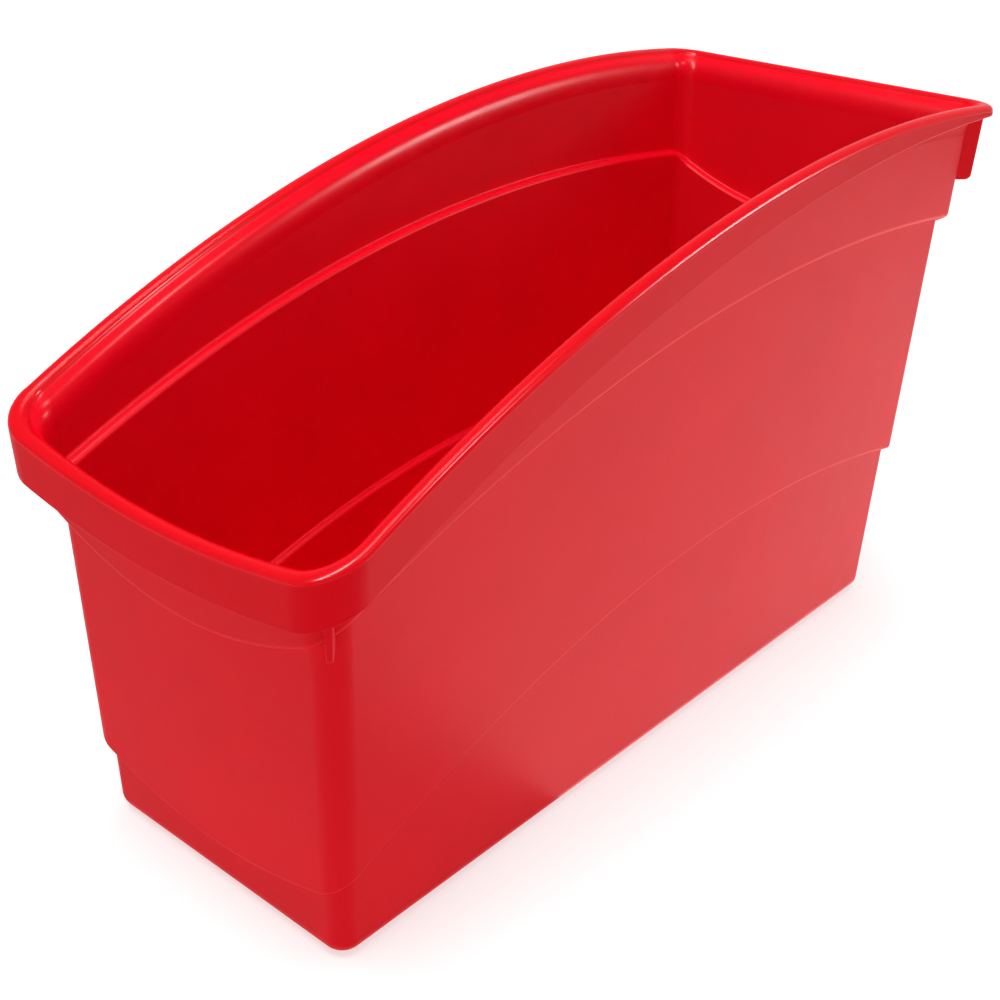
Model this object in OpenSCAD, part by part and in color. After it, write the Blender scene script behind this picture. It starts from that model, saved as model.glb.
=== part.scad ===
// Open supply bin, low at the front and high at the back. It is one thin-walled moulding:
// a floor, three wall tiers that step outwards as they rise, a rolled rim with a
// down-turned skirt, and a lug under each right-hand corner of the rim.
// Its regions are separate solids that meet face to face.
// Origin: middle of the footprint, on the surface that the bin stands on.
// The low front faces -Y, the bin's right side faces +X, and +Z is up.

/* [Rim] */
// Length over the rim, front to back
rim_length = 312; // [300:1:350]
// Width over the rim, at the back
rim_width = 133.6; // [120:0.2:150]
// Height of the rim at the front corners
rim_front = 128; // [124:1:134]
// Height of the rim at the back
rim_back = 191; // [184:1:200]
// Height that the rim's curve is drawn towards behind the front
rim_front_pull = 185; // [175:1:195]
// Height that the rim's curve is drawn towards before the back
rim_back_pull = 203; // [196:1:215]
// How far the rim sags in the middle of the front
rim_dip = 7.5; // [0:0.5:10]
// How far the rim stands out from the front wall
overhang_front = 6; // [5:0.1:7]
// How far the rim stands out from the back wall
overhang_back = 6.8; // [5:0.1:8]
// Depth of the skirt at the front
skirt_front = 16.2; // [13:0.1:18]
// Depth of the skirt half way along the sides
skirt_middle = 13; // [10:0.5:15]
// Depth of the skirt at the back
skirt_back = 4; // [4:0.5:8]

/* [Steps] */
// How far the middle tier stands out from the lower tier
lower_step = 2.4; // [0.5:0.1:3]
// How far the upper tier stands out from the middle tier
upper_step = 3.3; // [1:0.1:4]
// Height of the lower step at the front corners
low_front = 19; // [18:0.5:22]
// Height of the lower step at the back
low_back = 58.5; // [50:0.5:65]
// Height that the lower step's curve is drawn towards behind the front
low_front_pull = 76.5; // [65:0.5:85]
// Height that the lower step's curve is drawn towards before the back
low_back_pull = 84; // [70:0.5:90]
// How far the lower step sags in the middle of the front
low_front_dip = 10.5; // [0:0.5:11]
// Height of the upper step at the front corners
high_front = 105; // [102:0.5:106]
// Height of the upper step at the back
high_back = 150; // [144:0.5:158]
// Height that the upper step's curve is drawn towards behind the front
high_front_pull = 154.5; // [145:0.5:160]
// Height that the upper step's curve is drawn towards before the back
high_back_pull = 163; // [155:0.5:172]
// How far the upper step sags in the middle of the front
high_front_dip = 16.5; // [0:0.5:18]
// How far both steps sag in the middle of the back
back_dip = 14.5; // [0:0.5:15]

/* [Shell] */
// Thickness of the floor, walls and rim
wall = 2; // [1.6:0.1:2.4]
// Outward slope of the front wall, in millimetres per millimetre of height
front_lean = 0.045; // [0.01:0.005:0.07]
// Outward slope of the back wall
back_lean = 0.005; // [0.005:0.005:0.03]
// Outward slope of the side walls
side_lean = 0.025; // [0.01:0.005:0.04]
// Radius of the lower tier's upright corners at the front
front_corner = 6; // [5:0.5:10]
// Radius of the lower tier's upright corners at the back
back_corner = 3.5; // [3.5:0.5:10]
// How much a corner's radius grows for each millimetre that the shell steps outwards
corner_growth = 0.6; // [0.4:0.05:0.65]
// Radius of the bottom edge
base_radius = 5.1; // [4:0.1:5.2]

/* [Lugs] */
// How far a lug reaches below the top of the rim
lug_drop = 27.5; // [26:0.5:32]
// Radius of a lug's lower outer corner
lug_round = 1.6; // [1:0.1:2.5]

/* [Hidden] */

shell_red = "#c8141e";
rim_red = "#d81c26";
lug_red = "#a80a14";

// The rim rolls outwards over this height inside, and down over this height outside
roll_inside = 12;
roll_outside = 3;
roll_facets = 4;

// Places of the three tiers' outer faces, outwards from the lower tier
middle_face = lower_step;
upper_face = lower_step + upper_step;
front_face = upper_face + overhang_front;
back_face = upper_face + overhang_back;

// The floor's edge, where the bottom radius starts
floor_edge = -base_radius;
base_facets = 4;

// Half width of the lower tier and its reach to the front and back, at the floor
base_side = rim_width/2 - back_face - side_lean*rise(rim_back - roll_outside);
base_front = rim_length/2 - front_face - front_lean*rise(rim_front - roll_outside);
base_back = rim_length/2 - back_face - back_lean*rise(rim_back - roll_outside);

// A place along the outline is a number t, counted from the left side's front end:
// 0-1 front left corner, 1-2 front, 2-3 front right corner, 3-4 right side,
// 4-5 back right corner, 5-6 back, 6-7 back left corner, 7-8 left side.
stretch_facets = [11, 8, 11, 16, 11, 6, 11, 16];
stations = [for (k = [0:7], i = [0:stretch_facets[k] - 1]) k + i/stretch_facets[k], 8];
front_span = [0, 3];
right_span = [3, 4];
back_span = [4, 7];
left_span = [7, 8];

function mix(a, b, k) = a*(1 - k) + b*k;
function clamp(v) = min(max(v, 0), 1);

// The walls lean outwards from the top of the floor
function rise(z) = max(z - wall, 0);

// Outer reach of the shell n outwards from the lower tier's face, at height z
function side_reach(n, z) = base_side + n + side_lean*rise(z);
function front_reach(n, z) = base_front + n + front_lean*rise(z);
function back_reach(n, z) = base_back + n + back_lean*rise(z);

// Point of the outline at place t, n outwards from the lower tier's face, at height z
function spot(t, n, z) =
  let (
    x = side_reach(n, z),
    front_r = front_corner + corner_growth*n,
    back_r = back_corner + corner_growth*n,
    front = -front_reach(n, z) + front_r,
    back = back_reach(n, z) - back_r,
    front_x = x - front_r,
    back_x = x - back_r,
    stretch = min(floor(t), 7),
    k = t - stretch,
    front_round = front_r*[cos(90*k), sin(90*k)],
    back_round = back_r*[cos(90*k), sin(90*k)]
  )
  stretch == 0 ? [-front_x - front_round[0], front - front_round[1]] :
  stretch == 1 ? [mix(-front_x, front_x, k), front - front_r] :
  stretch == 2 ? [front_x + front_round[1], front - front_round[0]] :
  stretch == 3 ? [x, mix(front, back, k)] :
  stretch == 4 ? [back_x + back_round[0], back + back_round[1]] :
  stretch == 5 ? [mix(back_x, -back_x, k), back + back_r] :
  stretch == 6 ? [-back_x - back_round[1], back + back_round[0]] :
  [-x, mix(back, front, k)];

// Height of a line that runs round the shell: a smooth curve through four heights from
// front to back, sagging by dips[0] in the middle of the front and dips[1] at the back
function bezier(h, s) =
  h[0]*pow(1 - s, 3) + 3*h[1]*s*pow(1 - s, 2) + 3*h[2]*s*s*(1 - s) + h[3]*pow(s, 3);
function end_share(s) = clamp((0.25 - s)/0.2);
function line_height(t, n, heights, dips) =
  let (
    p = spot(t, n, heights[0]),
    s = clamp(p[1]/rim_length + 0.5),
    sag = 1 - pow(p[0]/side_reach(n, heights[0]), 2)
  )
  bezier(heights, s) - sag*(dips[0]*end_share(s) + dips[1]*end_share(1 - s));

function rim_height(t) =
  line_height(t, upper_face, [rim_front, rim_front_pull, rim_back_pull, rim_back], [rim_dip, 0]);
function high_step(t) =
  line_height(t, upper_face, [high_front, high_front_pull, high_back_pull, high_back],
              [high_front_dip, back_dip]);
function low_step(t) =
  line_height(t, middle_face, [low_front, low_front_pull, low_back_pull, low_back],
              [low_front_dip, back_dip]);

// How far back a place on the rim lies, from 0 at the front to 1 at the back
function along(t) = clamp(spot(t, upper_face, rim_front)[1]/rim_length + 0.5);
function rim_face(t) = mix(front_face, back_face, along(t));
function skirt_depth(t) =
  let (s = along(t))
  skirt_front*(1 - s)*(1 - 2*s) + 4*skirt_middle*s*(1 - s) + skirt_back*s*(2*s - 1);

// Cross-sections of the shell, counter-clockwise, as points [outwards, up]
function quarter(centre, radius, facets, from, to) =
  [for (i = [0:facets]) let (a = mix(from, to, i/facets))
    centre + [radius[0]*cos(a), radius[1]*sin(a)]];

function lower_section(t) =
  let (top = low_step(t), centre = [floor_edge, base_radius], inner = base_radius - wall)
  concat(
    quarter(centre, [base_radius, base_radius], base_facets, -90, 0),
    [[0, top], [-wall, top]],
    quarter(centre, [inner, inner], base_facets, 0, -90)
  );

// A tier from its bottom step to its top, with a ledge that reaches in to the tier below
function tier_section(face, face_below, bottom, top) = [
  [face_below - wall, bottom],
  [face, bottom],
  [face, top],
  [face - wall, top],
  [face - wall, bottom + wall],
  [face_below - wall, bottom + wall]
];

// The underside of the rim's roll, between the wall and the skirt
function groove(t, from, to) =
  let (low = rim_height(t) - roll_inside, edge = rim_face(t) - wall)
  quarter([edge, low], [edge - upper_face, roll_inside - wall], roll_facets, from, to);

function rim_section(t) =
  let (
    top = rim_height(t),
    hem = top - skirt_depth(t),
    face = rim_face(t),
    crest = face - wall,
    overhang = face - upper_face
  )
  concat(
    groove(t, 180, 90),
    [[crest, hem], [face, hem]],
    quarter([crest, top - roll_outside], [wall, roll_outside], roll_facets, 0, 90),
    quarter([crest, top - roll_inside], [overhang, roll_inside],
            roll_facets - 1, 90 + 90/roll_facets, 180)
  );

// A lug fills the rim's hollow from the wall out to the skirt, and hangs below it
function lug_section(t) =
  let (
    bottom = rim_height(t) - lug_drop,
    edge = rim_face(t) - wall,
    step = high_step(t),
    round_centre = [edge - lug_round, bottom + lug_round]
  )
  concat(
    bottom < step
      ? [[upper_face, step], [middle_face, step], [middle_face, bottom]]
      : [[upper_face, bottom]],
    quarter(round_centre, [lug_round, lug_round], roll_facets, -90, 0),
    groove(t, 90, 180)
  );

// The sections' end caps, as convex polygons that list the section's points by number
lower_last = 2*base_facets + 3;
lower_cap = [for (i = [0:base_facets]) [i, i + 1, lower_last - 1 - i, lower_last - i]];
tier_cap = [[0, 1, 4, 5], [1, 2, 3, 4]];
crest_point = 2*roll_facets + 3;
rim_last = 3*roll_facets + 3;
rim_cap = concat(
  [for (i = [0:roll_facets - 1]) [i, i + 1, rim_last - 1 - i, rim_last - i]],
  [[for (i = [0:3]) roll_facets + i]],
  [[roll_facets, for (i = [roll_facets + 3:crest_point]) i]]
);
function lug_cap(section) =
  let (last = len(section) - 1, corner = last - roll_facets - 1)
  [[for (i = [0:corner]) i], [0, for (i = [corner:last]) i]];

// Solid that sweeps a cross-section along the outline through the given places
module sweep(places, sections, cap) {
  size = len(sections[0]);
  last = len(places) - 1;
  points = [
    for (i = [0:last], p = sections[i])
      let (q = spot(places[i], p[0], p[1])) [q[0], q[1], p[1]]
  ];
  near_cap = [for (part = cap) [part[0], for (j = [len(part) - 1:-1:1]) part[j]]];
  far_cap = [for (part = cap) [for (j = part) last*size + j]];
  sides = [
    for (i = [0:last - 1], j = [0:size - 1])
      let (
        next = (j + 1) % size,
        a = i*size + j,
        b = i*size + next,
        c = a + size,
        d = b + size
      )
      each (sections[i][next][0] > sections[i][j][0]
        ? [[a, b, d], [a, d, c]]
        : [[a, b, c], [b, d, c]])
  ];
  polyhedron(points, concat(near_cap, far_cap, sides));
}

function places_in(span) = [for (t = stations) if (t >= span[0] && t <= span[1]) t];

module base_panel() {
  color(shell_red)
    linear_extrude(wall)
      polygon([for (t = stations) if (t < 8) spot(t, floor_edge, 0)]);
}

module lower_wall(span) {
  places = places_in(span);
  color(shell_red) sweep(places, [for (t = places) lower_section(t)], lower_cap);
}

module middle_wall(span) {
  places = places_in(span);
  color(shell_red)
    sweep(
      places,
      [for (t = places) tier_section(middle_face, 0, low_step(t), high_step(t))],
      tier_cap
    );
}

module upper_wall(span) {
  places = places_in(span);
  color(shell_red)
    sweep(
      places,
      [for (t = places)
        tier_section(upper_face, middle_face, high_step(t), rim_height(t) - roll_inside)],
      tier_cap
    );
}

module rim(span) {
  places = places_in(span);
  color(rim_red) sweep(places, [for (t = places) rim_section(t)], rim_cap);
}

// A lug is one facet of its corner wide
module corner_lug(stretch) {
  facets = stretch_facets[stretch];
  places = [stretch + floor(facets/2)/facets, stretch + ceil(facets/2)/facets];
  sections = [for (t = places) lug_section(t)];
  color(lug_red) sweep(places, sections, lug_cap(sections[0]));
}

base_panel();
lower_wall(front_span);  // lower_front_wall
lower_wall(back_span);  // lower_back_wall
lower_wall(left_span);  // lower_left_wall
lower_wall(right_span);  // lower_right_wall
middle_wall(front_span);  // middle_front_wall
middle_wall(back_span);  // middle_back_wall
middle_wall(left_span);  // middle_left_wall
middle_wall(right_span);  // middle_right_wall
upper_wall(front_span);  // upper_front_wall
upper_wall(back_span);  // upper_back_wall
upper_wall(left_span);  // upper_left_wall
upper_wall(right_span);  // upper_right_wall
rim(front_span);  // front_rim
rim(back_span);  // back_rim
rim(left_span);  // left_rim
rim(right_span);  // right_rim
corner_lug(2);  // front_corner_lug
corner_lug(4);  // back_corner_lug
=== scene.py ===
"""Looks of the open supply bin: one red moulding, shown region by region.

Every region of the shell is a closed solid that stands for its CAD node. All regions are
swept from one outline and one set of curves, so they meet without a visible seam.
Sizes are in millimetres until a mesh, light or camera is made, which is in metres.
"""

import math

import bpy
import numpy as np
from mathutils import Matrix, Vector


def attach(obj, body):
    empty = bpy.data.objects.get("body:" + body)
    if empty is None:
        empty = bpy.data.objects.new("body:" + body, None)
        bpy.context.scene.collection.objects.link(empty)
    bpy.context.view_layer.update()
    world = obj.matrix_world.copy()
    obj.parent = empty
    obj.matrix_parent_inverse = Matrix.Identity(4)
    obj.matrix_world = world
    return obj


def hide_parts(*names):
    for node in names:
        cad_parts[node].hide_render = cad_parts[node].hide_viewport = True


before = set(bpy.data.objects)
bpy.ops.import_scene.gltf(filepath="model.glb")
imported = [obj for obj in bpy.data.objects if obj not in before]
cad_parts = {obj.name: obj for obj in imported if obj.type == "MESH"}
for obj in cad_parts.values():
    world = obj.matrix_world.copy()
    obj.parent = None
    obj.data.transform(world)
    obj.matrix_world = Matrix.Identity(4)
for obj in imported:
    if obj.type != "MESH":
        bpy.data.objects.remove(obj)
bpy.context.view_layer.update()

MM = 0.001

# ---------------------------------------------------------------------------------------
# Driving sizes, the same as in the design
# ---------------------------------------------------------------------------------------

RIM_LENGTH = 312.0
RIM_WIDTH = 133.6
# Heights of each line that runs round the shell: at the front, pulled towards behind the
# front, pulled towards before the back, and at the back
RIM_HEIGHTS = (128.0, 185.0, 203.0, 191.0)
HIGH_HEIGHTS = (105.0, 154.5, 163.0, 150.0)
LOW_HEIGHTS = (19.0, 76.5, 84.0, 58.5)
# How far each line sags in the middle of the front and of the back
RIM_DIPS = (7.5, 0.0)
HIGH_DIPS = (16.5, 14.5)
LOW_DIPS = (10.5, 14.5)

OVERHANG_FRONT = 6.0
OVERHANG_BACK = 6.8
SKIRT_FRONT, SKIRT_MIDDLE, SKIRT_BACK = 16.2, 13.0, 4.0
LOWER_STEP = 2.4
UPPER_STEP = 3.3
WALL = 2.0
FRONT_LEAN, BACK_LEAN, SIDE_LEAN = 0.045, 0.005, 0.025
FRONT_CORNER, BACK_CORNER = 6.0, 3.5
CORNER_GROWTH = 0.6
BASE_RADIUS = 5.1
ROLL_INSIDE = 12.0
ROLL_OUTSIDE = 3.0
LUG_DROP = 27.5

MIDDLE_FACE = LOWER_STEP
UPPER_FACE = LOWER_STEP + UPPER_STEP
FRONT_FACE = UPPER_FACE + OVERHANG_FRONT
BACK_FACE = UPPER_FACE + OVERHANG_BACK

# Rounds that the moulding has and the design leaves square
LOWER_STEP_ROUND = 1.5
UPPER_STEP_ROUND = 2.0
LEDGE_ROUND = 1.4
LEDGE_FILLET = 0.8
HEM_ROUND_OUTSIDE = 0.6
HEM_ROUND_INSIDE = 0.4

# The rounded lip on the rim: its half width and half thickness, how far its middle lies below
# the design's top, and how thick the roll is under it
LIP_HALF_WIDTH = 2.6
LIP_HALF_HEIGHT = 2.2
LIP_DROP = 3.4
# How far inside the design's widest line the lip's outer edge lies, along the sides and back
LIP_CLEARANCE = 0.12
ROLL_THICKNESS = 3.0
# Angle on the lip where the inner flare leaves it: 0 is its outermost line, 90 its highest.
# The handles say how long the flare keeps its direction at the lip and at the wall.
FLARE_ANGLE = 155.0
LIP_HANDLE = 2.0
WALL_HANDLE = 8.5

# ---------------------------------------------------------------------------------------
# The outline and the lines round the shell
# ---------------------------------------------------------------------------------------
# A place along the outline is a number t: 0-1 front left corner, 1-2 front, 2-3 front
# right corner, 3-4 right side, 4-5 back right corner, 5-6 back, 6-7 back left corner,
# 7-8 left side.

OUTLINE_END = 8
CORNER_FACETS = 24
END_FACETS = 40
SIDE_FACETS = 150
STRETCH_FACETS = (CORNER_FACETS, END_FACETS, CORNER_FACETS, SIDE_FACETS) * 2
SPANS = {"front": (0, 3), "right": (3, 4), "back": (4, 7), "left": (7, 8)}


def rise(z):
    """The walls lean outwards from the top of the floor."""
    return np.maximum(z - WALL, 0.0)


BASE_SIDE = RIM_WIDTH / 2 - BACK_FACE - SIDE_LEAN * rise(RIM_HEIGHTS[3] - ROLL_OUTSIDE)
BASE_FRONT = RIM_LENGTH / 2 - FRONT_FACE - FRONT_LEAN * rise(RIM_HEIGHTS[0] - ROLL_OUTSIDE)
BASE_BACK = RIM_LENGTH / 2 - BACK_FACE - BACK_LEAN * rise(RIM_HEIGHTS[3] - ROLL_OUTSIDE)


def side_reach(n, z):
    return BASE_SIDE + n + SIDE_LEAN * rise(z)


def spot(t, n, z):
    """x and y at place t, n outwards from the lower tier's face, at height z."""
    t, n, z = np.broadcast_arrays(t % OUTLINE_END, n, z)
    x = side_reach(n, z)
    front_r = FRONT_CORNER + CORNER_GROWTH * n
    back_r = BACK_CORNER + CORNER_GROWTH * n
    front = -(BASE_FRONT + n + FRONT_LEAN * rise(z)) + front_r
    back = BASE_BACK + n + BACK_LEAN * rise(z) - back_r
    stretch = np.minimum(np.floor(t), OUTLINE_END - 1).astype(int)
    k = t - stretch
    c = np.cos(k * math.pi / 2)
    s = np.sin(k * math.pi / 2)
    front_x = x - front_r
    back_x = x - back_r
    xs = [
        -front_x - front_r * c,
        -front_x + 2 * front_x * k,
        front_x + front_r * s,
        x,
        back_x + back_r * c,
        back_x - 2 * back_x * k,
        -back_x - back_r * s,
        -x,
    ]
    ys = [
        front - front_r * s,
        front - front_r,
        front - front_r * c,
        front + (back - front) * k,
        back + back_r * s,
        back + back_r,
        back + back_r * c,
        back + (front - back) * k,
    ]
    return np.choose(stretch, xs), np.choose(stretch, ys)


def bezier(h, s):
    return (
        h[0] * (1 - s) ** 3
        + 3 * h[1] * s * (1 - s) ** 2
        + 3 * h[2] * s * s * (1 - s)
        + h[3] * s**3
    )


def end_share(s):
    """1 at an end of the bin, falling to 0 a quarter of the way along it."""
    return np.clip((0.25 - s) / 0.2, 0, 1)


def line_height(t, n, heights, dips):
    x, y = spot(t, n, heights[0])
    s = np.clip(y / RIM_LENGTH + 0.5, 0, 1)
    sag = 1 - (x / side_reach(n, heights[0])) ** 2
    return bezier(heights, s) - sag * (dips[0] * end_share(s) + dips[1] * end_share(1 - s))


def rim_height(t):
    return line_height(t, UPPER_FACE, RIM_HEIGHTS, RIM_DIPS)


def high_step(t):
    return line_height(t, UPPER_FACE, HIGH_HEIGHTS, HIGH_DIPS)


def low_step(t):
    return line_height(t, MIDDLE_FACE, LOW_HEIGHTS, LOW_DIPS)


def along(t):
    """How far back a place on the rim lies, from 0 at the front to 1 at the back."""
    return np.clip(spot(t, UPPER_FACE, RIM_HEIGHTS[0])[1] / RIM_LENGTH + 0.5, 0, 1)


def rim_face(t):
    s = along(t)
    return FRONT_FACE * (1 - s) + BACK_FACE * s


def skirt_depth(t):
    s = along(t)
    front = SKIRT_FRONT * (1 - s) * (1 - 2 * s)
    middle = 4 * SKIRT_MIDDLE * s * (1 - s)
    return front + middle + SKIRT_BACK * s * (2 * s - 1)


# ---------------------------------------------------------------------------------------
# Cross-sections: lists of runs, counter-clockwise in (outwards, up)
# ---------------------------------------------------------------------------------------
# A run is (points, tangents, finish), with one row of points for each place t.

# Finishes, by number: grained outside, smooth inside or on the lip, and the rim's inner flare.
# Each also picks a base colour: the smooth one and the flare are painted lighter, and on the rim
# the grained one is painted darker, as painted light and painted shade.
SATIN, GLOSS_PAINTED_LIGHTER, FLARE = 0, 1, 2
ROUND_FACETS = 8


def line(start, end, facets=1, finish=SATIN):
    """A straight run from start to end."""
    start = np.stack(np.broadcast_arrays(*start), -1)[:, None, :]
    end = np.stack(np.broadcast_arrays(*end), -1)[:, None, :]
    k = np.linspace(0, 1, facets + 1)[None, :, None]
    points = start * (1 - k) + end * k
    direction = end - start
    direction = direction / np.maximum(np.linalg.norm(direction, axis=-1, keepdims=True), 1e-9)
    return points, np.broadcast_to(direction, points.shape), finish


def arc(centre, radii, start_degrees, end_degrees, facets=ROUND_FACETS, finish=SATIN):
    """A quarter or part of an ellipse."""
    centre = np.stack(np.broadcast_arrays(*centre), -1)[:, None, :]
    radii = np.stack(np.broadcast_arrays(*radii, centre[:, 0, 0])[:2], -1)[:, None, :]
    angle = np.radians(np.linspace(start_degrees, end_degrees, facets + 1))
    around = np.stack([np.cos(angle), np.sin(angle)], -1)[None]
    turn = math.copysign(1, end_degrees - start_degrees)
    heading = turn * np.stack([-np.sin(angle), np.cos(angle)], -1)[None]
    return centre + radii * around, radii * heading, finish


def curve(n, z, finish=SATIN):
    """A run through given points, from arrays with one row for each place."""
    points = np.stack(np.broadcast_arrays(n, z), -1)
    return points, np.gradient(points, axis=1), finish


def lower_section(t):
    top = low_step(t)
    zero = np.zeros_like(t)
    edge = zero - BASE_RADIUS
    inner = BASE_RADIUS - WALL
    wall_facets = 12
    return [
        arc((edge, -edge), (BASE_RADIUS, BASE_RADIUS), -90, 0),
        line((zero, -edge), (zero, top), wall_facets),
        line((zero, top), (zero - WALL, top)),
        line((zero - WALL, top), (zero - WALL, -edge), wall_facets, GLOSS_PAINTED_LIGHTER),
        arc((edge, -edge), (inner, inner), 0, -90, finish=GLOSS_PAINTED_LIGHTER),
        line((edge, zero + WALL), (edge, zero)),
    ]


def tier_section(face, face_below, bottom, top, edge_round):
    """A tier from its bottom step to its top, with a ledge that reaches in to the tier below."""
    ledge = bottom + WALL
    inner = face - WALL
    inner_below = face_below - WALL
    wall_facets = 12
    fillet_facets = 4
    return [
        line((inner_below, bottom), (face_below, bottom)),
        line((face_below, bottom), (face - edge_round, bottom)),
        arc((face - edge_round, bottom + edge_round), (edge_round, edge_round), -90, 0),
        line((face, bottom + edge_round), (face, top), wall_facets),
        line((face, top), (inner, top)),
        line((inner, top), (inner, ledge + LEDGE_FILLET), wall_facets, GLOSS_PAINTED_LIGHTER),
        arc((inner - LEDGE_FILLET, ledge + LEDGE_FILLET), (LEDGE_FILLET, LEDGE_FILLET),
            0, -90, fillet_facets, GLOSS_PAINTED_LIGHTER),
        line((inner - LEDGE_FILLET, ledge), (inner_below + LEDGE_ROUND, ledge), 1, GLOSS_PAINTED_LIGHTER),
        arc((inner_below + LEDGE_ROUND, ledge - LEDGE_ROUND), (LEDGE_ROUND, LEDGE_ROUND),
            90, 180, ROUND_FACETS, GLOSS_PAINTED_LIGHTER),
        line((inner_below, ledge - LEDGE_ROUND), (inner_below, bottom), 1, GLOSS_PAINTED_LIGHTER),
    ]


def middle_section(t):
    return tier_section(MIDDLE_FACE, 0.0, low_step(t), high_step(t), LOWER_STEP_ROUND)


def upper_section(t):
    top = rim_height(t) - ROLL_INSIDE
    return tier_section(UPPER_FACE, MIDDLE_FACE, high_step(t), top, UPPER_STEP_ROUND)


def lip_face(t):
    """Outer edge of the lip: the skirt's face at the front, one fixed line on the other sides."""
    corner = np.select([t < 1, t < 2, t < 3], [1 - t, 0 * t, t - 2], 1.0)
    share = corner * corner * (3 - 2 * corner)
    return rim_face(t) * (1 - share) + (BACK_FACE - LIP_CLEARANCE) * share


def lip(t, facets=26):
    """The lip's surface, from its outermost line over the top to where the flare leaves it."""
    middle = (lip_face(t) - LIP_HALF_WIDTH, rim_height(t) - LIP_DROP)
    return arc(middle, (LIP_HALF_WIDTH, LIP_HALF_HEIGHT), 0, FLARE_ANGLE, facets, GLOSS_PAINTED_LIGHTER)


def inner_flare(start, foot, facets=16):
    """A smooth curve from the lip's inner shoulder down into the wall's inner face."""
    angle = math.radians(FLARE_ANGLE)
    heading = np.array([-LIP_HALF_WIDTH * math.sin(angle), LIP_HALF_HEIGHT * math.cos(angle)])
    heading /= np.linalg.norm(heading)
    k = np.linspace(0, 1, facets + 1)
    axes = []
    for axis, foot_handle in ((0, 0.0), (1, WALL_HANDLE)):
        controls = (
            start[axis],
            start[axis] + LIP_HANDLE * heading[axis],
            foot[axis] + foot_handle,
            foot[axis],
        )
        axes.append(bezier([control[:, None] for control in controls], k))
    return curve(*axes, FLARE)


def rim_section(t):
    """The rim: an underside groove, the skirt with its hem, the lip, and the flare inside."""
    top = rim_height(t)
    low = top - ROLL_INSIDE
    hem = top - skirt_depth(t)
    face = rim_face(t)
    inside = face - WALL
    lip_run = lip(t)
    under_lip = lip_run[0][:, 0].T
    shoulder = lip_run[0][:, -1].T
    wall_inside = np.full_like(t, UPPER_FACE - WALL)
    roll_facets = 14
    skirt_facets = 6
    hem_inside_facets = 4
    hem_outside_facets = 5
    return [
        arc((inside, low), (inside - UPPER_FACE, ROLL_INSIDE - ROLL_THICKNESS), 180, 90,
            roll_facets),
        line((inside, top - ROLL_THICKNESS), (inside, hem + HEM_ROUND_INSIDE)),
        arc((inside + HEM_ROUND_INSIDE, hem + HEM_ROUND_INSIDE),
            (HEM_ROUND_INSIDE, HEM_ROUND_INSIDE), 180, 270, hem_inside_facets),
        line((inside + HEM_ROUND_INSIDE, hem), (face - HEM_ROUND_OUTSIDE, hem)),
        arc((face - HEM_ROUND_OUTSIDE, hem + HEM_ROUND_OUTSIDE),
            (HEM_ROUND_OUTSIDE, HEM_ROUND_OUTSIDE), -90, 0, hem_outside_facets),
        line((face, hem + HEM_ROUND_OUTSIDE), under_lip, skirt_facets),
        lip_run,
        inner_flare(shoulder, (wall_inside, low)),
        line((wall_inside, low), (UPPER_FACE, low)),
    ]


SECTIONS = {
    "lower": lower_section,
    "middle": middle_section,
    "upper": upper_section,
    "rim": rim_section,
}

# ---------------------------------------------------------------------------------------
# Sweeping a section into a closed solid with exact normals
# ---------------------------------------------------------------------------------------


def in_space(t, points):
    """3-D points, in millimetres, of section points at the places t."""
    x, y = spot(t[:, None], points[..., 0], points[..., 1])
    return np.stack([x, y, points[..., 1]], -1)


def run_surface(section, t, index):
    """Points and normals of one run of a section at the places t."""
    t_step = 1e-4
    section_step = 1e-3
    points, tangents, _ = section(t)[index]
    length = np.maximum(np.linalg.norm(tangents, axis=-1, keepdims=True), 1e-9)
    ahead = section_step * tangents / length
    along_section = in_space(t, points + ahead) - in_space(t, points - ahead)
    later = in_space(t + t_step, section(t + t_step)[index][0])
    earlier = in_space(t - t_step, section(t - t_step)[index][0])
    normals = np.cross(later - earlier, along_section)
    normals /= np.linalg.norm(normals, axis=-1, keepdims=True)
    return in_space(t, points), normals


def stations(span):
    """The places of a span, with one shared place where two stretches meet."""
    places = [
        stretch + facet / STRETCH_FACETS[stretch]
        for stretch in range(span[0], span[1])
        for facet in range(STRETCH_FACETS[stretch])
    ]
    return np.array(places + [float(span[1])])


def make_object(name, points_mm, faces, loop_normals, finishes, materials):
    """A mesh object from points in millimetres, with one normal for each face corner."""
    mesh = bpy.data.meshes.new(name)
    mesh.from_pydata((np.asarray(points_mm) * MM).tolist(), [], faces)
    for material in materials:
        mesh.materials.append(material)
    mesh.polygons.foreach_set("material_index", finishes)
    mesh.shade_smooth()
    mesh.normals_split_custom_set(loop_normals)
    piece = bpy.data.objects.new(name, mesh)
    bpy.context.scene.collection.objects.link(piece)
    return piece


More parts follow.
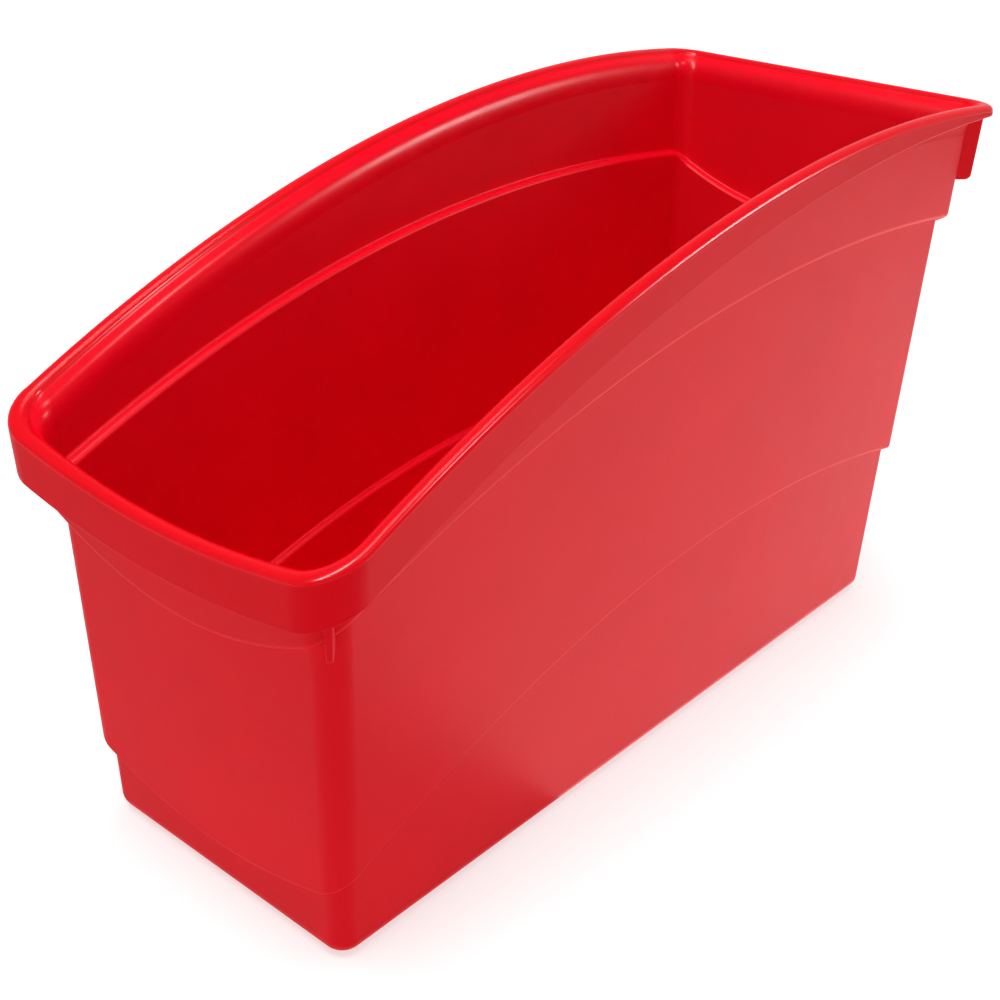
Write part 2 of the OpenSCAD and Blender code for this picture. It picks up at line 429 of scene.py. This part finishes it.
def sweep(name, section, span, materials):
    """The closed solid that a section makes along a span of the outline."""
    t = stations(span)
    runs = section(t)
    surfaces = [run_surface(section, t, index) for index in range(len(runs))]
    loop = np.concatenate([points[:, :-1] for points, _ in surfaces], axis=1)
    rows, size = loop.shape[:2]
    faces, normals, finishes = [], [], []
    first = 0
    for (_, run_normals), (_, _, finish) in zip(surfaces, runs):
        for j in range(run_normals.shape[1] - 1):
            here = first + j
            after = (here + 1) % size
            for i in range(rows - 1):
                faces.append((i * size + here, (i + 1) * size + here,
                              (i + 1) * size + after, i * size + after))
                normals += [run_normals[i, j], run_normals[i + 1, j],
                            run_normals[i + 1, j + 1], run_normals[i, j + 1]]
                finishes.append(finish)
        first += run_normals.shape[1] - 1
    for row, order in ((0, range(size)), (rows - 1, range(size - 1, -1, -1))):
        corners = [row * size + j for j in order]
        faces.append(corners)
        normals += [face_normal(loop.reshape(-1, 3)[corners])] * size
        finishes.append(SATIN)
    return make_object(name, loop.reshape(-1, 3), faces, normals, finishes, materials)


def face_normal(points):
    """The normal of a closed flat polygon."""
    after = np.roll(points, -1, axis=0)
    normal = np.cross(points, after).sum(axis=0)
    return normal / np.linalg.norm(normal)


# ---------------------------------------------------------------------------------------
# The floor and the lugs
# ---------------------------------------------------------------------------------------


def floor_panel(name, materials):
    """The floor: two flat faces that end where the bottom radius starts."""
    t = np.concatenate([stations(span)[:-1] for span in SPANS.values()])
    edge = np.zeros((len(t), 2))
    edge[:, 0] = -BASE_RADIUS
    x, y = spot(t, edge[:, 0], edge[:, 1])
    count = len(t)
    low = np.stack([x, y, np.zeros(count)], -1)
    high = np.stack([x, y, np.full(count, WALL)], -1)
    points = np.concatenate([low, high])
    faces = [list(range(count - 1, -1, -1)), list(range(count, 2 * count))]
    normals = [(0, 0, -1)] * count + [(0, 0, 1)] * count
    finishes = [SATIN, GLOSS_PAINTED_LIGHTER]
    for i in range(count):
        after = (i + 1) % count
        corners = [i, after, count + after, count + i]
        faces.append(corners)
        normals += [face_normal(points[corners])] * 4
        finishes.append(SATIN)
    return make_object(name, points, faces, normals, finishes, materials)


LUG_PLACES = {"front_corner_lug": 2.5, "back_corner_lug": 4.5}
LUG_ROOT_THICKNESS = 3.4
LUG_EDGE_THICKNESS = 2.6
LUG_EDGE_ROUND = 0.35
LUG_CORNER_ROUND = 1.8
# A lug's thickness at its foot, as a share of its thickness at the rim
LUG_FOOT_SHARE = 0.6
# How far a lug reaches into the wall and into the rim's roll, so that no gap shows
LUG_SINK = 0.4
LUG_CORNER_POINTS = 7
LUG_ROLL_POINTS = 10
LUG_EDGE_POINTS = 5


def lug_outline(t):
    """A lug's outline in its own upright plane, counter-clockwise, as (outwards, up)."""
    place = np.array([t])
    top = float(rim_height(place)[0])
    step = float(high_step(place)[0])
    edge = float(rim_face(place)[0]) - WALL
    bottom = top - LUG_DROP
    low = top - ROLL_INSIDE
    if bottom < step:
        wall_side = [
            (UPPER_FACE - LUG_SINK, step + LUG_SINK),
            (MIDDLE_FACE - LUG_SINK, step + LUG_SINK),
            (MIDDLE_FACE - LUG_SINK, bottom),
        ]
    else:
        wall_side = [(UPPER_FACE - LUG_SINK, bottom)]
    corner = [
        (edge - LUG_CORNER_ROUND * (1 - math.cos(angle)),
         bottom + LUG_CORNER_ROUND * (1 + math.sin(angle)))
        for angle in np.radians(np.linspace(-90, 0, LUG_CORNER_POINTS))
    ]
    roll = [
        (edge + (edge - UPPER_FACE + LUG_SINK) * math.cos(angle),
         low + (ROLL_INSIDE - ROLL_THICKNESS + LUG_SINK) * math.sin(angle))
        for angle in np.radians(np.linspace(90, 180, LUG_ROLL_POINTS))
    ]
    return np.array(wall_side + corner + roll)


def lug(name, t, materials):
    """A thin upright fin across a corner, from the wall out to the skirt, hanging below it."""
    outline = lug_outline(t)
    count = len(outline)
    x, y = spot(np.full(count, t), outline[:, 0], outline[:, 1])
    spine = np.stack([x, y, outline[:, 1]], -1)
    reach = outline[:, 0] - outline[:, 0].min()
    out = spine[reach.argmax()] - spine[reach.argmin()]
    out[2] = 0
    out /= np.linalg.norm(out)
    up = np.array([0.0, 0.0, 1.0])
    across = np.cross(up, out)
    tangent = np.roll(outline, -1, axis=0) - np.roll(outline, 1, axis=0)
    tangent /= np.linalg.norm(tangent, axis=1, keepdims=True)
    edge_normal = tangent[:, 1:] * out - tangent[:, :1] * up
    share = reach / reach.max()
    half = (LUG_ROOT_THICKNESS * (1 - share) + LUG_EDGE_THICKNESS * share) / 2
    hang = (outline[:, 1].max() - outline[:, 1]) / np.ptp(outline[:, 1])
    half *= 1 - hang * (1 - LUG_FOOT_SHARE)
    # Rings of points round the fin's edge, from one face over the rounded edge to the other
    rings, ring_normals = [], []
    for side in (-1, 1):
        for angle in sorted(np.radians(np.linspace(0, 90, LUG_EDGE_POINTS)) * side):
            inset = LUG_EDGE_ROUND * (1 - math.cos(angle))
            offset = side * (half - LUG_EDGE_ROUND) + LUG_EDGE_ROUND * math.sin(angle)
            rings.append(spine - inset * edge_normal + offset[:, None] * across)
            ring_normals.append(edge_normal * math.cos(angle) + across * math.sin(angle))
    faces, normals = [], []
    for k in range(len(rings) - 1):
        for i in range(count):
            after = (i + 1) % count
            faces.append((k * count + i, (k + 1) * count + i,
                          (k + 1) * count + after, k * count + after))
            normals += [ring_normals[k][i], ring_normals[k + 1][i],
                        ring_normals[k + 1][after], ring_normals[k][after]]
    last = (len(rings) - 1) * count
    faces.append(list(range(count)))
    normals += [-across] * count
    faces.append([last + i for i in reversed(range(count))])
    normals += [across] * count
    finishes = [SATIN] * len(faces)
    return make_object(name, np.concatenate(rings), faces, normals, finishes, materials)


# ---------------------------------------------------------------------------------------
# Materials
# ---------------------------------------------------------------------------------------

# Base colours. The real bin is one plastic: these differ so that the inside, the lip and the
# skirt match the photo's brightness.
# The inside and the lip are painted lighter and the skirt painted darker than the outside walls:
# painted light and painted shade, not a second colour of plastic.
SHELL_RED = (0.64, 0.0008, 0.007)
INSIDE_RED_PAINTED_LIGHTER = (0.775, 0.0008, 0.012)
RIM_RED_PAINTED_LIGHTER = (0.66, 0.0008, 0.007)
SKIRT_RED_PAINTED_DARKER = (0.59, 0.0006, 0.006)
FLOOR_WHITE = (0.5, 0.5, 0.5)
# Light that comes through the table top, so that the shadow on it stays pale
FLOOR_GLOW = 0.58


class Nodes:
    """Adds nodes to a material and joins them by socket name."""

    def __init__(self, name):
        self.material = bpy.data.materials.new(name)
        self.material.use_nodes = True
        self.tree = self.material.node_tree
        self.shader = self.tree.nodes["Principled BSDF"]
        self.place = self.add("ShaderNodeTexCoord").outputs["Object"]

    def add(self, kind, inputs=(), **settings):
        node = self.tree.nodes.new(kind)
        for key, value in settings.items():
            setattr(node, key, value)
        for key, value in dict(inputs).items():
            self.join(value, node.inputs[key])
        return node

    def join(self, value, socket):
        """Links an output to a socket, or sets the socket to a plain value."""
        if isinstance(value, bpy.types.NodeSocket):
            self.tree.links.new(value, socket)
        else:
            socket.default_value = value

    def noise(self, size_mm, detail=2.0, stretch=None):
        """Noise whose features are about size_mm across, stretched along x, y and z."""
        place = self.place
        if stretch:
            place = self.add("ShaderNodeMapping", {"Vector": place, "Scale": stretch}).outputs[0]
        inputs = {"Vector": place, "Scale": 1 / (size_mm * MM), "Detail": detail}
        return self.add("ShaderNodeTexNoise", inputs).outputs["Fac"]

    def remap(self, value, low, high, to_low, to_high):
        inputs = {"Value": value, "From Min": low, "From Max": high,
                  "To Min": to_low, "To Max": to_high}
        return self.add("ShaderNodeMapRange", inputs).outputs["Result"]

    def math(self, operation, a, b):
        return self.add("ShaderNodeMath", {0: a, 1: b}, operation=operation).outputs[0]

    def tint(self, share, low, high):
        """A colour between low and high."""
        inputs = {"Factor": share, "A": (*low, 1), "B": (*high, 1)}
        node = self.add("ShaderNodeMix", data_type="RGBA")
        for socket in node.inputs:
            if socket.enabled and socket.name in inputs:
                self.join(inputs[socket.name], socket)
        return next(out for out in node.outputs if out.enabled)

    def bump(self, height, depth_mm, normal=None):
        inputs = {"Height": height, "Distance": depth_mm * MM, "Strength": 1.0}
        if normal:
            inputs["Normal"] = normal
        return self.add("ShaderNodeBump", inputs).outputs["Normal"]

    def finish(self, **inputs):
        for key, value in inputs.items():
            self.join(value, self.shader.inputs[key.replace("_", " ")])
        return self.material


def scaled(colour, factor):
    return tuple(channel * factor for channel in colour)


def moulded_plastic(name, colour, roughness, grain_mm, grain_depth_mm, specular):
    """Pigmented polypropylene: spark-eroded grain, slow flow waves, faint handling scuffs."""
    nodes = Nodes(name)
    cloud = nodes.noise(45.0, 3.0)
    speck = nodes.noise(0.9, 2.0)
    shade = nodes.math("ADD", nodes.remap(cloud, 0.3, 0.7, 0.0, 0.8),
                       nodes.remap(speck, 0.3, 0.7, 0.0, 0.2))
    red = nodes.tint(shade, scaled(colour, 0.95), scaled(colour, 1.05))
    # Scuffs run mostly along the bin, and only where the coarse mask lets them show
    scuff = nodes.remap(nodes.noise(1.6, 3.0, (1.0, 0.06, 1.0)), 0.66, 0.76, 0.0, 1.0)
    worn = nodes.remap(nodes.noise(28.0, 2.0), 0.52, 0.68, 0.0, 1.0)
    scuff = nodes.math("MULTIPLY", scuff, worn)
    dull = nodes.remap(nodes.noise(12.0, 4.0), 0.3, 0.7, -0.02, 0.02)
    rough = nodes.math("ADD", dull, nodes.remap(scuff, 0.0, 1.0, roughness, roughness + 0.03))
    grain = nodes.bump(nodes.noise(grain_mm, 1.5), grain_depth_mm)
    waves = nodes.bump(nodes.noise(9.0, 1.0), 0.05, grain)
    return nodes.finish(
        Base_Color=red,
        Roughness=rough,
        Normal=waves,
        IOR=1.49,
        Specular_IOR_Level=specular,
    )


def floor_paper(name):
    """A smooth pale table top with a barely visible mottle."""
    nodes = Nodes(name)
    mottle = nodes.noise(60.0, 4.0)
    tone = nodes.tint(mottle, scaled(FLOOR_WHITE, 0.985), FLOOR_WHITE)
    tooth = nodes.bump(nodes.noise(1.2, 2.0), 0.01)
    return nodes.finish(
        Base_Color=tone,
        Roughness=0.75,
        Normal=tooth,
        Specular_IOR_Level=0.2,
        Emission_Color=(1, 1, 1, 1),
        Emission_Strength=FLOOR_GLOW,
    )


shell_satin = moulded_plastic(
    "shell_satin", SHELL_RED, roughness=0.46, grain_mm=0.45, grain_depth_mm=0.012, specular=0.055
)
# Inside walls, ledges and the floor's top: smoother, with a base colour painted lighter as
# painted light inside the bin.
shell_smooth_painted_light = moulded_plastic(
    "shell_smooth_painted_light", INSIDE_RED_PAINTED_LIGHTER, roughness=0.40, grain_mm=0.6, grain_depth_mm=0.005, specular=0.05
)
# Skirt, hem and roll: grained, with a base colour painted darker as painted shade under the lip.
rim_satin_painted_shade = moulded_plastic(
    "rim_satin_painted_shade", SKIRT_RED_PAINTED_DARKER, roughness=0.42, grain_mm=0.45, grain_depth_mm=0.010, specular=0.03
)
# The lip: glossy, with a base colour painted slightly lighter as painted light.
rim_smooth_painted_light = moulded_plastic(
    "rim_smooth_painted_light", RIM_RED_PAINTED_LIGHTER, roughness=0.2, grain_mm=0.6, grain_depth_mm=0.004, specular=0.08
)
# The rim's inner flare: a base colour painted lighter as painted light inside the bin.
rim_flare_painted_light = moulded_plastic(
    "rim_flare_painted_light", INSIDE_RED_PAINTED_LIGHTER, roughness=0.26, grain_mm=0.6, grain_depth_mm=0.004, specular=0.06
)

# ---------------------------------------------------------------------------------------
# The regions of the bin
# ---------------------------------------------------------------------------------------


def stand_for(piece, node):
    """Shows the piece in place of its CAD node."""
    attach(piece, "root")
    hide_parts(node)


def build_bin():
    shell = (shell_satin, shell_smooth_painted_light)
    rim = (rim_satin_painted_shade, rim_smooth_painted_light, rim_flare_painted_light)
    stand_for(floor_panel("moulded_base_panel", shell), "base_panel")
    for tier, section in SECTIONS.items():
        for side, span in SPANS.items():
            node = f"{side}_rim" if tier == "rim" else f"{tier}_{side}_wall"
            materials = rim if tier == "rim" else shell
            stand_for(sweep(f"moulded_{node}", section, span, materials), node)
    for node, t in LUG_PLACES.items():
        stand_for(lug(f"moulded_{node}", t, shell), node)


build_bin()

# ---------------------------------------------------------------------------------------
# Floor, lights and camera
# ---------------------------------------------------------------------------------------

# Camera, found by matching the bin's edges: degrees and millimetres
VIEW_AZIMUTH = 39.745
VIEW_ELEVATION = 26.965
VIEW_ROLL = 2.505
VIEW_DISTANCE = 481.9
VIEW_TARGET = (-10.1, -9.7, 71.5)
LENS = 52.89


def make_floor():
    half = 12.0
    corners = [(-half, -half, 0), (half, -half, 0), (half, half, 0), (-half, half, 0)]
    mesh = bpy.data.meshes.new("table_top")
    mesh.from_pydata(corners, [], [(0, 1, 2, 3)])
    mesh.materials.append(floor_paper("table_paper"))
    table = bpy.data.objects.new("table_top", mesh)
    bpy.context.scene.collection.objects.link(table)


def make_world(strength):
    world = bpy.data.worlds.new("studio")
    world.use_nodes = True
    background = world.node_tree.nodes["Background"]
    background.inputs["Color"].default_value = (1.0, 1.0, 1.0, 1)
    background.inputs["Strength"].default_value = strength
    bpy.context.scene.world = world


def toward(azimuth, elevation):
    """Unit vector out to a direction: azimuth 0 is in front of the bin and 90 at its right."""
    a, e = math.radians(azimuth), math.radians(elevation)
    return Vector((math.sin(a) * math.cos(e), -math.cos(a) * math.cos(e), math.sin(e)))


def softbox(name, azimuth, elevation, distance, size, radiance, height=None):
    """A square or upright area light, aimed at the middle of the bin, of a given brightness."""
    height = height or size
    light = bpy.data.lights.new(name, "AREA")
    light.shape = "RECTANGLE"
    light.size = size
    light.size_y = height
    light.energy = radiance * math.pi * size * height
    lamp = bpy.data.objects.new(name, light)
    bpy.context.scene.collection.objects.link(lamp)
    middle = Vector((0, 0, RIM_HEIGHTS[3] * MM / 2))
    away = toward(azimuth, elevation)
    lamp.location = middle + away * distance
    lamp.rotation_euler = away.to_track_quat("Z", "Y").to_euler()
    return lamp


def only_reflected(lamp):
    """The lamp shows as a reflection in the plastic and lights nothing else."""
    lamp.visible_camera = False
    lamp.visible_diffuse = False


def reflector_card(name, centre, size, radiance):
    """A glowing card on the table beside the bin, for the sheen on its right-hand wall."""
    card = softbox(name, 0, 90, 0, size, radiance)
    card.location = centre
    card.rotation_euler = (math.pi, 0, 0)
    only_reflected(card)


def make_camera():
    away = toward(VIEW_AZIMUTH, VIEW_ELEVATION)
    level = toward(VIEW_AZIMUTH + 90, 0)
    roll = math.radians(VIEW_ROLL)
    raised = away.cross(level)
    right = level * math.cos(roll) + raised * math.sin(roll)
    up = raised * math.cos(roll) - level * math.sin(roll)
    data = bpy.data.cameras.new("camera")
    data.lens = LENS
    data.sensor_width = 36.0
    data.clip_start = 0.01
    camera = bpy.data.objects.new("camera", data)
    bpy.context.scene.collection.objects.link(camera)
    camera.matrix_world = Matrix.Translation(
        (Vector(VIEW_TARGET) + away * VIEW_DISTANCE) * MM
    ) @ Matrix((right, up, away)).transposed().to_4x4()
    bpy.context.scene.camera = camera


make_floor()
make_world(strength=0.56)
softbox("overhead", azimuth=-8, elevation=84, distance=2.5, size=1.2, radiance=12.8)
for catch_light in (
    softbox("catch_right", azimuth=94, elevation=51, distance=1.4, size=0.14, radiance=210.0),
    softbox("catch_front", azimuth=352, elevation=50, distance=1.4, size=0.16, radiance=150.0,
            height=1.1),
    softbox("catch_back", azimuth=134, elevation=20, distance=1.4, size=0.34, radiance=70.0),
):
    only_reflected(catch_light)
reflector_card("wall_card", centre=(0.42, 0.33, 0.001), size=0.75, radiance=2.2)
make_camera()
bpy.context.scene.view_settings.view_transform = "Standard"
